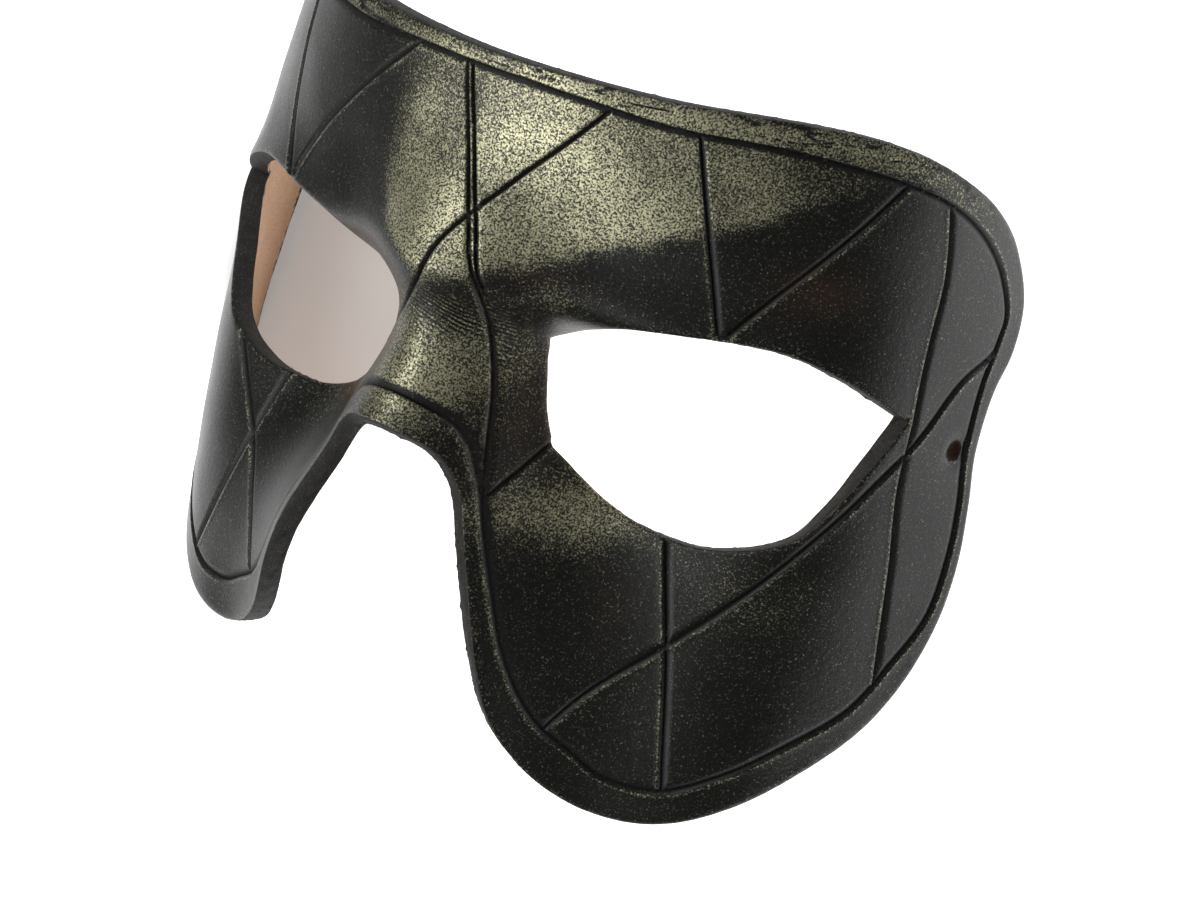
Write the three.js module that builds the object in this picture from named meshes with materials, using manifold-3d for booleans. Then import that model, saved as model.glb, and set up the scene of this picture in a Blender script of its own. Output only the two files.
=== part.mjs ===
// A leather half mask of the kind worn on the comedy stage: one piece of thick hide, cut to a flat
// pattern, wetted and worked over a face block, so that it covers the forehead, the temples and
// both cheeks, with an eye hole on each side and an arch below for the nose.
// It lies face up on its rim. +X is to the viewer's right, +Y towards the forehead edge, +Z up out
// of the face. The origin is at the middle of its bounding box's underside. Lengths are in
// millimetres and angles in radians.
import * as THREE from "three";
import { mergeVertices } from "three/addons/utils/BufferGeometryUtils.js";
import Module from "manifold-3d";

// The hide
const hideThickness = 3.4;
const restFlatDepth = 0.6; // how far the rim is worn flat where it lies on the table

// The cut pattern, laid flat: across from the middle line, up from just above the nose arch
const patternHalfWidth = 101;
const foreheadHeight = 54;
const cheekDrop = 60;
const leftWidthShare = 0.973; // the hand-cut left half is a little narrower
const leftCheekShare = 0.92; // and its cheek a little shorter
const leftTipSplay = 6; // how much further out the left cheek's tip is cut
const leftTipDrop = 1.5;

// The eye holes, cut in the same flat pattern, by the hide that is left round them
const noseBridgeWidth = 31.2;
const templeWidth = 16.7; // from an eye hole's outer corner to the waist of the side edge
const browBand = 34.3;
const cheekBand = 45.3;

// The tooled lines
const borderInset = 4.2;
const grooveWidth = 1.5;
const grooveDepth = 0.6;

// The punched holes for a tie, one beside each waist
const tieHoleDiameter = 3.2;
const tieHoleUp = 1.4;
const leftTieHoleUp = -23; // the left waist is lower
const tieLandWidth = 1.2; // the ring that the punch pressed flat

// The wrap round the head
const crownTurn = 0.0116; // radians that the hide turns back for each millimetre across
const crownTurnGain = 0.005;
const templeTurn = 0.337;
const templeTurnGain = -0.146;
const templeStart = 49.7;
const templeStartGain = 13.3;
const templeLength = 29.6;
const gainHeight = 62.5; // the height over which each gain above is counted
const foreheadFallBack = 5.4;
const cheekFallBack = 0.3;

// The relief worked into the wet hide
const bridgeHeight = 7;
const noseHeight = 31.1;
const bridgeWidth = 12.9;
const noseWidth = 20.7;
const bridgeUp = 21.8;
const noseLength = 30.6;
const bridgeFade = 22.9;
const browHeight = 5.8;
const browUp = 22.2;
const browSlope = -6.4;
const browBow = -5.5;
const browWidth = 7.6;
const browAcross = 21.8;
const browLength = 40.6;
const socketDepth = 18.6;
const socketAcross = 19.6;
const socketWidth = 22.8;
const socketUp = -1.2;
const socketHeight = 19.7;
const ridgeRound = 6; // keeps the middle of the nose round

// How finely the faces are divided
const edgeStep = 2.8;
const grooveStep = 3;
const outerStep = 4;
const innerStep = 4.8;
const wrapSteps = 24;
const tieHoleSides = 12;

// Half of the outline, from the middle of the forehead edge round the temple, waist and cheek to
// the middle of the nose arch, as shares of the pattern's half width and of its height or drop. The
// third number is how far in the tooled border line lies there, as a share of the border inset.
const waistShare = 0.906;
const waistInsetShare = 0.66;
const halfOutline = [
  [0, 1, 0.56], [0.149, 0.998, 0.63], [0.297, 0.989, 0.85], [0.465, 0.976, 0.95],
  [0.594, 0.942, 1.08], [0.693, 0.887, 1.06], [0.792, 0.796, 0.95], [0.891, 0.676, 1.05],
  [0.96, 0.546, 1.17], [1, 0.38, 1.3], [0.98, 0.256, 1.3], [0.936, 0.158, 0.93],
  [waistShare, 0.01, waistInsetShare], [0.907, -0.133, 0.56], [0.901, -0.283, 0.62],
  [0.876, -0.433, 0.65], [0.827, -0.583, 1.05], [0.762, -0.708, 1.12], [0.663, -0.825, 1.36],
  [0.564, -0.92, 1.37], [0.475, -0.98, 1.28], [0.406, -0.997, 1.4], [0.337, -0.98, 1.53],
  [0.277, -0.917, 1.6], [0.233, -0.817, 1.24], [0.208, -0.717, 0.98], [0.188, -0.583, 0.7],
  [0.163, -0.417, 0.55], [0.134, -0.267, 0.43], [0.109, -0.15, 0.43], [0.084, -0.083, 0.6],
  [0.052, -0.042, 0.84], [0, -0.017, 0.98],
];

// The left half's side edge, where the hand-cut temple comes lower. It replaces the outline's points
// from the first number up to the second.
const leftWaistShare = 0.845;
const leftSideEdge = [
  [-0.973, 0.37, 1.3], [-0.954, 0.25, 1.3], [-0.915, 0.12, 0.93], [-0.893, -0.01, 0.75],
  [-0.873, -0.13, 0.7], [-0.857, -0.25, 0.68], [-leftWaistShare, -0.36, waistInsetShare], [-0.835, -0.46, 0.7],
];
const leftSideStart = 9;
const leftSideEnd = 16;

// The right eye hole as three edges, as shares of its length from its inner edge and of how far it
// reaches up or down.
const eyeUpperEdge = [
  [0.005, 0.584], [0.066, 0.675], [0.139, 0.812], [0.236, 0.934], [0.385, 0.99], [0.532, 0.995],
  [0.666, 0.934], [0.816, 0.751], [1, 0.421],
];
const eyeLowerEdge = [
  [1, 0.421], [0.929, 0.096], [0.877, -0.19], [0.821, -0.469], [0.764, -0.7], [0.701, -0.823],
  [0.605, -0.93], [0.505, -1], [0.4, -0.99], [0.285, -0.912], [0.169, -0.694], [0.062, -0.347],
];
const eyeInnerCut = [[0.062, -0.347], [0.022, 0.025], [0, 0.381], [0.005, 0.584]];

// The lattice's lines, from end to end, as shares like the outline's. Each is cut off at the border
// line and left out where it would cross an eye hole.
const latticeLines = [
  [[-0.49, 0.917], [-0.487, 0.682], [-0.468, 0.489], [-0.39, 0.336]],
  [[-0.54, -0.165], [-0.485, -0.279], [-0.415, -0.412], [-0.356, -0.575], [-0.307, -0.75], [-0.29, -0.83]],
  [[-0.045, 0.98], [-0.018, 0.796], [0.01, 0.676], [0.053, 0.516], [0.079, 0.385], [0.087, 0.209],
    [0.108, 0.034], [0.14, -0.2]],
  [[0.33, 0.98], [0.425, 0.377]],
  [[0.392, -0.22], [0.428, -0.5], [0.462, -0.95]],
  [[0.752, 0.794], [0.775, 0.54], [0.767, 0.387], [0.75, 0.036], [0.762, -0.267], [0.77, -0.63]],
  [[-0.12, 0.98], [-0.225, 0.792], [-0.29, 0.672], [-0.347, 0.556], [-0.384, 0.444], [-0.39, 0.38]],
  [[0.225, 0.98], [0.157, 0.831], [0.087, 0.688], [0.023, 0.528], [-0.004, 0.378], [-0.085, 0.161],
    [-0.16, 0.031]],
  [[-0.39, -0.22], [-0.415, -0.415], [-0.468, -0.652], [-0.52, -0.83]],
  [[0.685, 0.835], [0.439, 0.377]],
  [[0.19, -0.07], [0.13, -0.21]],
  [[0.95, 0.3], [0.91, 0.264], [0.85, 0.219], [0.772, 0.089], [0.666, -0.108], [0.552, -0.305], [0.43, -0.5],
    [0.323, -0.667], [0.25, -0.84]],
];

// What follows from the sizes above
const waistHalfWidth = waistShare * patternHalfWidth;
const eyeInnerEdge = noseBridgeWidth / 2;
const eyeLength = waistHalfWidth - templeWidth - eyeInnerEdge;
const eyeAbove = foreheadHeight - browBand;
const eyeBelow = cheekDrop - cheekBand;
const tieLandRadius = tieHoleDiameter / 2 + tieLandWidth;
const tieEdge = borderInset * waistInsetShare + (grooveWidth + tieHoleDiameter) / 2; // from the waist
const tieHoleAcross = waistHalfWidth - tieEdge;
const leftTieHoleAcross = tieEdge - leftWaistShare * patternHalfWidth;

// A bell curve of height 1, its value falling to a third at one width from the middle.
function bell(distance, width) {
  return Math.exp(-((distance / width) ** 2));
}

// The angle that the hide has turned back from the front, at a distance across and a height up.
function turnedBack(across, up) {
  const share = up / gainHeight;
  const start = templeStart + templeStartGain * share;
  const temple = THREE.MathUtils.smoothstep(across, start, start + templeLength);
  return (crownTurn + crownTurnGain * share) * across + (templeTurn + templeTurnGain * share) * temple;
}

// How far the worked relief stands out of the plain wrap.
function relief(across, up) {
  const down = THREE.MathUtils.smoothstep(bridgeUp - up, 0, noseLength);
  const rise = THREE.MathUtils.lerp(bridgeHeight, noseHeight, down);
  const width = THREE.MathUtils.lerp(bridgeWidth, noseWidth, down);
  const fade = 1 - THREE.MathUtils.smoothstep(up - bridgeUp, 0, bridgeFade);
  const nose = rise * fade * bell(across, width);
  const round = Math.hypot(across, ridgeRound);
  const browLine = browUp + (browSlope * round) / gainHeight + browBow * (round / gainHeight) ** 2;
  const brow = browHeight * bell(up - browLine, browWidth) * bell(round - browAcross, browLength);
  const socket = socketDepth * bell(round - socketAcross, socketWidth) * bell(up - socketUp, socketHeight);
  return nose + brow - socket;
}

// A point on the hide's outer face, from its place in the flat pattern.
function facePoint(across, up) {
  const distance = Math.abs(across);
  const side = across < 0 ? -1 : 1;
  const step = distance / wrapSteps;
  let x = 0;
  let z = 0;
  for (let i = 0; i < wrapSteps; i++) {
    const angle = turnedBack((i + 0.5) * step, up);
    x += Math.cos(angle) * step;
    z -= Math.sin(angle) * step;
  }
  const angle = turnedBack(distance, up);
  const rise = relief(distance, up);
  const fallBack = (up > 0 ? foreheadFallBack : cheekFallBack) * (up / gainHeight) ** 2;
  return new THREE.Vector3(side * (x + Math.sin(angle) * rise), up, z + Math.cos(angle) * rise - fallBack);
}

// The two directions along the face at a place in the pattern, and its outward normal.
function faceAxes(across, up) {
  const reach = 0.1;
  const along = facePoint(across + reach, up).sub(facePoint(across - reach, up)).divideScalar(2 * reach);
  const rising = facePoint(across, up + reach).sub(facePoint(across, up - reach)).divideScalar(2 * reach);
  const normal = new THREE.Vector3().crossVectors(along, rising).normalize();
  return { along, rising, normal };
}

// A smooth curve through control points, divided into equal steps, as points of the flat pattern.
function smoothCurve(points, closed, step) {
  const curve = new THREE.CatmullRomCurve3(points.map(([x, y]) => new THREE.Vector3(x, y, 0)), closed, "centripetal");
  const count = Math.ceil(curve.getLength() / step);
  const spaced = curve.getSpacedPoints(count).map((p) => new THREE.Vector2(p.x, p.y));
  return closed ? spaced.slice(0, -1) : spaced;
}

// A place in the pattern given by shares of a width, a height above and a depth below.
function place([acrossShare, upShare], width, above, below) {
  return [acrossShare * width, upShare * (upShare > 0 ? above : below)];
}

// The hand-cut left half differs a little from a true mirror image.
function mirrored([across, up]) {
  return [-across * leftWidthShare, up < 0 ? up * leftCheekShare : up];
}

// A point of the outline: its place in the pattern, and its border line's inset as a share.
function edgePoint(share) {
  return [...place(share, patternHalfWidth, foreheadHeight, cheekDrop), share[2]];
}

// The same on the left half, where the cheek's tip is cut further out and down.
function leftEdgePoint([rightAcross, rightUp, inset]) {
  const [across, up] = mirrored([rightAcross, rightUp]);
  const tip = (Math.min(up, 0) / cheekDrop) ** 2;
  return [across - leftTipSplay * tip, up - leftTipDrop * tip, inset];
}

// The whole outline, or the border line when each of its points is moved in by its own inset.
function edgeLoop(inset) {
  const right = halfOutline.map(edgePoint);
  const left = right.map(leftEdgePoint);
  left.splice(leftSideStart, leftSideEnd - leftSideStart, ...leftSideEdge.map(edgePoint));
  const edge = [...right.reverse(), ...left.slice(1, -1)];
  const points = edge.map(([across, up]) => new THREE.Vector2(across, up));
  const inward = beside(points, inset, true);
  const moved = points.map((point, i) => point.lerp(inward[i], edge[i][2]).toArray());
  return smoothCurve(moved, true, edgeStep);
}

function eyeLoop(left) {
  const edges = [eyeUpperEdge, eyeLowerEdge, eyeInnerCut].map((edge) => {
    const points = edge.map((share) => {
      const [across, up] = place(share, eyeLength, eyeAbove, eyeBelow);
      return left ? mirrored([eyeInnerEdge + across, up]) : [eyeInnerEdge + across, up];
    });
    return smoothCurve(points, false, edgeStep).slice(0, -1);
  });
  const loop = edges.flat();
  return left ? loop.reverse() : loop;
}

// A ring of points round a tie hole, clockwise, as a hole's edge runs.
function ring(centre, radius) {
  return Array.from({ length: tieHoleSides }, (_, i) => {
    const angle = (-2 * Math.PI * i) / tieHoleSides;
    return new THREE.Vector2(centre.x + radius * Math.cos(angle), centre.y + radius * Math.sin(angle));
  });
}

// Whether a point lies inside a closed loop.
function inside(loop, point) {
  let result = false;
  loop.forEach((a, i) => {
    const b = loop[(i + 1) % loop.length];
    if (a.y > point.y !== b.y > point.y && point.x < ((b.x - a.x) * (point.y - a.y)) / (b.y - a.y) + a.x) {
      result = !result;
    }
  });
  return result;
}

// The distance from a point to a run of straight pieces.
function distanceTo(run, point, closed) {
  const count = closed ? run.length : run.length - 1;
  let nearest = Infinity;
  for (let i = 0; i < count; i++) {
    const a = run[i];
    const b = run[(i + 1) % run.length];
    const dx = b.x - a.x;
    const dy = b.y - a.y;
    const share = ((point.x - a.x) * dx + (point.y - a.y) * dy) / (dx * dx + dy * dy);
    const t = THREE.MathUtils.clamp(share, 0, 1);
    nearest = Math.min(nearest, Math.hypot(point.x - a.x - t * dx, point.y - a.y - t * dy));
  }
  return nearest;
}

// Points beside a run, at a distance to its left.
function beside(run, distance, closed) {
  return run.map((point, i) => {
    const last = run.length - 1;
    const before = closed ? run[(i + last) % run.length] : run[Math.max(i - 1, 0)];
    const after = closed ? run[(i + 1) % run.length] : run[Math.min(i + 1, last)];
    const along = new THREE.Vector2().subVectors(after, before).normalize();
    return new THREE.Vector2(point.x - along.y * distance, point.y + along.x * distance);
  });
}

// The parts of a lattice line that lie inside the border line and outside the eye holes.
function latticeRuns(line, borderLine, eyes) {
  const runs = [];
  let run = [];
  for (const point of smoothCurve(line, false, grooveStep)) {
    if (inside(borderLine, point) && !eyes.some((eye) => inside(eye, point))) {
      run.push(point);
    } else if (run.length > 0) {
      runs.push(run);
      run = [];
    }
  }
  return [...runs, run].filter((found) => found.length > 1);
}

// Divides the area between points into triangles whose circles hold no other point, by adding the
// points one at a time. The small shift keeps four points off one circle.
function triangulate(points) {
  const reach = 100 * patternHalfWidth;
  const shift = 1e-4;
  const all = points.map((p, i) => [p.x + shift * Math.sin(i * 12.9), p.y + shift * Math.sin(i * 78.2)]);
  all.push([-reach, -reach], [reach, -reach], [0, reach]);
  const count = points.length;
  const circle = (a, b, c) => {
    const [ax, ay] = all[a];
    const bx = all[b][0] - ax;
    const by = all[b][1] - ay;
    const cx = all[c][0] - ax;
    const cy = all[c][1] - ay;
    const twice = 2 * (bx * cy - by * cx);
    const x = (cy * (bx * bx + by * by) - by * (cx * cx + cy * cy)) / twice;
    const y = (bx * (cx * cx + cy * cy) - cx * (bx * bx + by * by)) / twice;
    return { corners: [a, b, c], x: ax + x, y: ay + y, square: x * x + y * y };
  };
  let triangles = [circle(count, count + 1, count + 2)];
  for (let i = 0; i < count; i++) {
    const [x, y] = all[i];
    const open = new Map();
    const kept = [];
    for (const triangle of triangles) {
      if ((x - triangle.x) ** 2 + (y - triangle.y) ** 2 >= triangle.square) {
        kept.push(triangle);
        continue;
      }
      triangle.corners.forEach((a, k) => {
        const b = triangle.corners[(k + 1) % 3];
        if (!open.delete(`${b} ${a}`)) open.set(`${a} ${b}`, [a, b]);
      });
    }
    for (const [a, b] of open.values()) kept.push(circle(a, b, i));
    triangles = kept;
  }
  return triangles.map((triangle) => triangle.corners).filter((corners) => corners.every((c) => c < count));
}

const outline = edgeLoop(0);
const borderLine = edgeLoop(borderInset);
const eyes = [eyeLoop(false), eyeLoop(true)];
const tieHoles = [
  new THREE.Vector2(tieHoleAcross, tieHoleUp),
  new THREE.Vector2(leftTieHoleAcross, leftTieHoleUp),
];
const holes = [...eyes, ...tieHoles.map((centre) => ring(centre, tieHoleDiameter / 2))];
const loops = [outline, ...holes];
const lattice = latticeLines.flatMap((line) => latticeRuns(
  line.map((share) => place(share, patternHalfWidth, foreheadHeight, cheekDrop)), borderLine, eyes,
));

// How deep the tooled lines are at a place in the pattern: a V across each line.
function toolDepth(point) {
  const nearest = Math.min(
    distanceTo(borderLine, point, true),
    ...lattice.map((run) => distanceTo(run, point, false)),
  );
  return grooveDepth * Math.max(0, 1 - nearest / (grooveWidth / 2));
}

// Adds the points that keep clear of every edge and of the points already there.
function addClear(points, extra, clearance) {
  const edgeClearance = edgeStep * 0.53;
  for (const point of extra) {
    const tight = tieHoles.some((centre) => centre.distanceTo(point) < tieLandRadius * 1.05);
    const reach = tight ? clearance : Math.max(edgeClearance, clearance);
    if (!inside(outline, point) || holes.some((hole) => inside(hole, point))) continue;
    if (loops.some((loop) => distanceTo(loop, point, true) < reach)) continue;
    if (points.every((other) => other.distanceTo(point) > clearance)) points.push(point);
  }
}

// A field of points in rows, each row shifted by half a step.
function field(step) {
  const points = [];
  const rise = (step * Math.sqrt(3)) / 2;
  const rows = Math.ceil((foreheadHeight + cheekDrop) / rise);
  const columns = Math.ceil((2 * patternHalfWidth) / step);
  for (let row = 0; row <= rows; row++) {
    for (let column = 0; column <= columns; column++) {
      const across = (column + (row % 2) / 2 - columns / 2) * step;
      points.push(new THREE.Vector2(across, row * rise - cheekDrop));
    }
  }
  return points;
}

// One face's points and triangles. The loops' points come first, so both faces share them.
function faceMesh(step, tooled) {
  const points = loops.flat();
  const landClearance = tieLandWidth * 0.45;
  for (const centre of tieHoles) addClear(points, ring(centre, tieLandRadius), landClearance);
  if (tooled) {
    const rowClearance = grooveWidth * 0.36;
    for (const offset of [0, -grooveWidth / 2, grooveWidth / 2]) {
      addClear(points, beside(borderLine, offset, true), rowClearance);
      for (const run of lattice) addClear(points, beside(run, offset, false), rowClearance);
    }
  }
  addClear(points, field(step), step * 0.55);
  const triangles = triangulate(points).filter((corners) => {
    const middle = corners.reduce((sum, c) => sum.add(points[c]), new THREE.Vector2()).divideScalar(3);
    return inside(outline, middle) && !holes.some((hole) => inside(hole, middle));
  });
  return { points, triangles };
}

// A point of the shell, at a depth below the outer face. The ring round a tie hole is flat.
function shellPoint(place, depth) {
  const land = tieHoles.find((centre) => centre.distanceTo(place) < tieLandRadius * 1.05);
  const base = land ?? place;
  const { along, rising, normal } = faceAxes(base.x, base.y);
  return facePoint(base.x, base.y)
    .addScaledVector(along, place.x - base.x)
    .addScaledVector(rising, place.y - base.y)
    .addScaledVector(normal, -depth);
}

// The closed shell: the outer face, the inner face turned round, and a wall along every edge.
function shellGeometry() {
  const outer = faceMesh(outerStep, true);
  const inner = faceMesh(innerStep, false);
  const vertices = [
    ...outer.points.map((point) => shellPoint(point, toolDepth(point))),
    ...inner.points.map((point) => shellPoint(point, hideThickness)),
  ];
  const below = outer.points.length;
  const corners = outer.triangles.flat();
  for (const [a, b, c] of inner.triangles) corners.push(below + a, below + c, below + b);
  let first = 0;
  for (const loop of loops) {
    loop.forEach((_, i) => {
      const a = first + i;
      const b = first + ((i + 1) % loop.length);
      corners.push(a, below + a, below + b, a, below + b, b);
    });
    first += loop.length;
  }
  const geometry = new THREE.BufferGeometry().setFromPoints(vertices);
  geometry.setIndex(corners);
  return geometry;
}

// The balance point of a closed shell, and its corners as points.
function weigh(geometry) {
  const position = geometry.getAttribute("position");
  const index = geometry.getIndex();
  const points = Array.from({ length: position.count }, (_, i) => new THREE.Vector3().fromBufferAttribute(position, i));
  const moment = new THREE.Vector3();
  let volume = 0;
  for (let i = 0; i < index.count; i += 3) {
    const [a, b, c] = [0, 1, 2].map((k) => points[index.getX(i + k)]);
    const part = a.dot(new THREE.Vector3().crossVectors(b, c));
    volume += part;
    moment.addScaledVector(new THREE.Vector3().add(a).add(b).add(c), part / 4);
  }
  return { points, balance: moment.divideScalar(volume) };
}

// Tips points about a level line through one of them, towards the balance point, until another
// point comes down to the table. Gives that point's number.
function tip(points, balance, pivot, axis, touching) {
  const up = new THREE.Vector3(0, 0, 1);
  const falling = new THREE.Vector3().crossVectors(axis, up);
  if (balance.clone().sub(points[pivot]).dot(falling) < 0) {
    axis.negate();
    falling.negate();
  }
  let landing = { angle: Math.PI, index: -1 };
  points.forEach((point, index) => {
    const arm = point.clone().sub(points[pivot]);
    const angle = Math.atan2(arm.z, arm.dot(falling));
    if (!touching.includes(index) && angle >= 0 && angle < landing.angle) landing = { angle, index };
  });
  const origin = points[pivot].clone();
  for (const point of [...points, balance]) point.sub(origin).applyAxisAngle(axis, landing.angle);
  return landing.index;
}

// Lays the piece on the table as it would settle: it tips over its lowest point, then over the line
// through two, until its weight is between three. The box's underside is then centred.
function settle(geometry) {
  const maxTips = 12;
  const { points, balance } = weigh(geometry);
  const level = (from, to) => new THREE.Vector3(to.x - from.x, to.y - from.y, 0).normalize();
  const lowest = points.reduce((low, point, i) => (point.z < points[low].z ? i : low), 0);
  const towards = level(points[lowest], balance);
  const firstAxis = new THREE.Vector3(-towards.y, towards.x, 0);
  const touching = [lowest, tip(points, balance, lowest, firstAxis, [lowest])];
  for (let i = 0; i < maxTips; i++) {
    const [a, b] = touching.slice(-2);
    const c = tip(points, balance, a, level(points[a], points[b]), [a, b]);
    if (inside([a, b, c].map((k) => points[k]), balance)) break;
    const middle = new THREE.Vector2(balance.x, balance.y);
    const gap = (k) => distanceTo([points[k], points[c]], middle, false);
    touching.push(gap(a) < gap(b) ? a : b, c);
  }
  geometry.setFromPoints(points);
  geometry.computeBoundingBox();
  const centre = geometry.boundingBox.getCenter(new THREE.Vector3());
  return geometry.translate(-centre.x, -centre.y, -geometry.boundingBox.min.z);
}

// Cuts the rim flat at the table, as deep as wear and its own weight have pressed it.
async function wornFlat(geometry) {
  const wasm = await Module();
  wasm.setup();
  const toSolid = (source) => {
    const bare = source.clone();
    for (const name of Object.keys(bare.attributes)) if (name !== "position") bare.deleteAttribute(name);
    const merged = mergeVertices(bare);
    return new wasm.Manifold(new wasm.Mesh({
      numProp: 3,
      vertProperties: merged.getAttribute("position").array,
      triVerts: new Uint32Array(merged.getIndex().array),
    }));
  };
  const size = geometry.boundingBox.getSize(new THREE.Vector3()).addScalar(10);
  const table = new THREE.BoxGeometry(size.x, size.y, size.z).translate(0, 0, restFlatDepth - size.z / 2);
  const cut = toSolid(geometry).subtract(toSolid(table)).getMesh();
  const result = new THREE.BufferGeometry();
  result.setAttribute("position", new THREE.BufferAttribute(cut.vertProperties, 3));
  result.setIndex(new THREE.BufferAttribute(cut.triVerts, 1));
  return result.translate(0, 0, -restFlatDepth);
}

const shell = settle(shellGeometry());
const hide = new THREE.Mesh(
  await wornFlat(shell),
  new THREE.MeshStandardMaterial({ color: 0x2a2924, roughness: 0.5, metalness: 0.15, flatShading: true }),
);
hide.name = "leather_mask";

const mask = new THREE.Group();
mask.add(hide);

export default mask;
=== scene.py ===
# %% [markdown]
# # A leather half mask, finished in cells
#
# The real mask is one piece of thick vegetable-tanned hide. Its maker cut it to a flat pattern,
# tooled the lines into the damp grain side, worked it over a face block, dyed it black and rubbed
# pale gold over the high places. This lesson follows the same order: the pattern first, then the
# tooling, then the form, then the dye and the rub.
#
# The solid model comes first. It fixes the size and the place, and nothing here moves it.

# %% Load the solid model
import math

import bpy
import numpy as np
from mathutils import Euler, Matrix, Vector, kdtree, noise
from mathutils.geometry import delaunay_2d_cdt


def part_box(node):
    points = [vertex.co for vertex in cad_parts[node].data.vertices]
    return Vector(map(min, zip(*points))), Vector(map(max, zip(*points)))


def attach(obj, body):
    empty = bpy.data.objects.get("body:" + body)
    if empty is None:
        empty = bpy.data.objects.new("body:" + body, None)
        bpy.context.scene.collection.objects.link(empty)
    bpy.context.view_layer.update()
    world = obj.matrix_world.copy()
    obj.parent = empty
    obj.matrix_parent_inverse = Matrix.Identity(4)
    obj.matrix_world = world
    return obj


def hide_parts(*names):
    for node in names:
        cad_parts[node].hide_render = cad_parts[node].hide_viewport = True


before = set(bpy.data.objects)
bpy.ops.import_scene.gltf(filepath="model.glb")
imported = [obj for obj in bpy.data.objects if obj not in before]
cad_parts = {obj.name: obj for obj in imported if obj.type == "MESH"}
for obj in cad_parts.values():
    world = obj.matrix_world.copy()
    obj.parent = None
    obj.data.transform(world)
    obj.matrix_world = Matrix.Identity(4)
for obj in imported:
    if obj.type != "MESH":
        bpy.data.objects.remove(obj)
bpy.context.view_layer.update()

solid_low, solid_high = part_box("leather_mask")
print("solid model, size in mm:", [round(1000 * side, 1) for side in solid_high - solid_low])

# %% [markdown]
# ## The sizes of the hide and of its pattern
#
# Everything flat is measured in millimetres on the cut pattern: across from the middle line, and up
# from just above the nose arch. These are the solid model's own sizes, so the fine surface lands on
# the solid. One factor turns millimetres into metres at the very end.

# %% Sizes of the hide
MM = 0.001
HIDE_THICKNESS = 3.4

PATTERN_HALF_WIDTH = 101
FOREHEAD_HEIGHT = 54
CHEEK_DROP = 60
LEFT_WIDTH_SHARE = 0.973
LEFT_CHEEK_SHARE = 0.92
LEFT_TIP_SPLAY = 6
LEFT_TIP_DROP = 1.5

NOSE_BRIDGE_WIDTH = 31.2
TEMPLE_WIDTH = 16.7
BROW_BAND = 34.3
CHEEK_BAND = 45.3

BORDER_INSET = 4.2
GROOVE_WIDTH = 1.5
GROOVE_DEPTH = 0.6
TIE_HOLE_DIAMETER = 3.2
TIE_HOLE_UP = 1.4
LEFT_TIE_HOLE_UP = -23
TIE_LAND_WIDTH = 1.2

# %% [markdown]
# ## The form
#
# Two rules give the form. The wrap says how far the hide has turned back towards the ears at each
# distance across, and adding up small steps along that heading gives the curve round the head. The
# relief says how far the worked hide stands out of that wrap: the nose, the brow ridge and the eye
# sockets are each a bell curve. A rule is better than sculpting here, because the flat pattern and
# its tooled lines can then be carried onto the form exactly.

# %% The wrap and the relief
CROWN_TURN = 0.0116
CROWN_TURN_GAIN = 0.005
TEMPLE_TURN = 0.337
TEMPLE_TURN_GAIN = -0.146
TEMPLE_START = 49.7
TEMPLE_START_GAIN = 13.3
TEMPLE_LENGTH = 29.6
GAIN_HEIGHT = 62.5
FOREHEAD_FALL_BACK = 5.4
CHEEK_FALL_BACK = 0.3

BRIDGE_HEIGHT = 7
NOSE_HEIGHT = 31.1
BRIDGE_WIDTH = 12.9
NOSE_WIDTH = 20.7
BRIDGE_UP = 21.8
NOSE_LENGTH = 30.6
BRIDGE_FADE = 22.9
BROW_HEIGHT = 5.8
BROW_UP = 22.2
BROW_SLOPE = -6.4
BROW_BOW = -5.5
BROW_WIDTH = 7.6
BROW_ACROSS = 21.8
BROW_LENGTH = 40.6
SOCKET_DEPTH = 18.6
SOCKET_ACROSS = 19.6
SOCKET_WIDTH = 22.8
SOCKET_UP = -1.2
SOCKET_HEIGHT = 19.7
RIDGE_ROUND = 6
WRAP_STEPS = 24


def smoothstep(value, start, end):
    share = np.clip((value - start) / (end - start), 0, 1)
    return share * share * (3 - 2 * share)


def bell(distance, width):
    return np.exp(-((distance / width) ** 2))


def turned_back(across, up):
    """The angle that the hide has turned back from the front."""
    share = up / GAIN_HEIGHT
    start = TEMPLE_START + TEMPLE_START_GAIN * share
    temple = smoothstep(across, start, start + TEMPLE_LENGTH)
    crown = (CROWN_TURN + CROWN_TURN_GAIN * share) * across
    return crown + (TEMPLE_TURN + TEMPLE_TURN_GAIN * share) * temple


def relief(across, up):
    """How far the worked hide stands out of the plain wrap."""
    down = smoothstep(BRIDGE_UP - up, 0, NOSE_LENGTH)
    rise = BRIDGE_HEIGHT + (NOSE_HEIGHT - BRIDGE_HEIGHT) * down
    width = BRIDGE_WIDTH + (NOSE_WIDTH - BRIDGE_WIDTH) * down
    nose = rise * (1 - smoothstep(up - BRIDGE_UP, 0, BRIDGE_FADE)) * bell(across, width)
    rounded = np.hypot(across, RIDGE_ROUND)
    share = rounded / GAIN_HEIGHT
    brow_line = BROW_UP + BROW_SLOPE * share + BROW_BOW * share**2
    brow = BROW_HEIGHT * bell(up - brow_line, BROW_WIDTH) * bell(rounded - BROW_ACROSS, BROW_LENGTH)
    socket = SOCKET_DEPTH * bell(rounded - SOCKET_ACROSS, SOCKET_WIDTH)
    socket *= bell(up - SOCKET_UP, SOCKET_HEIGHT)
    return nose + brow - socket


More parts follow.
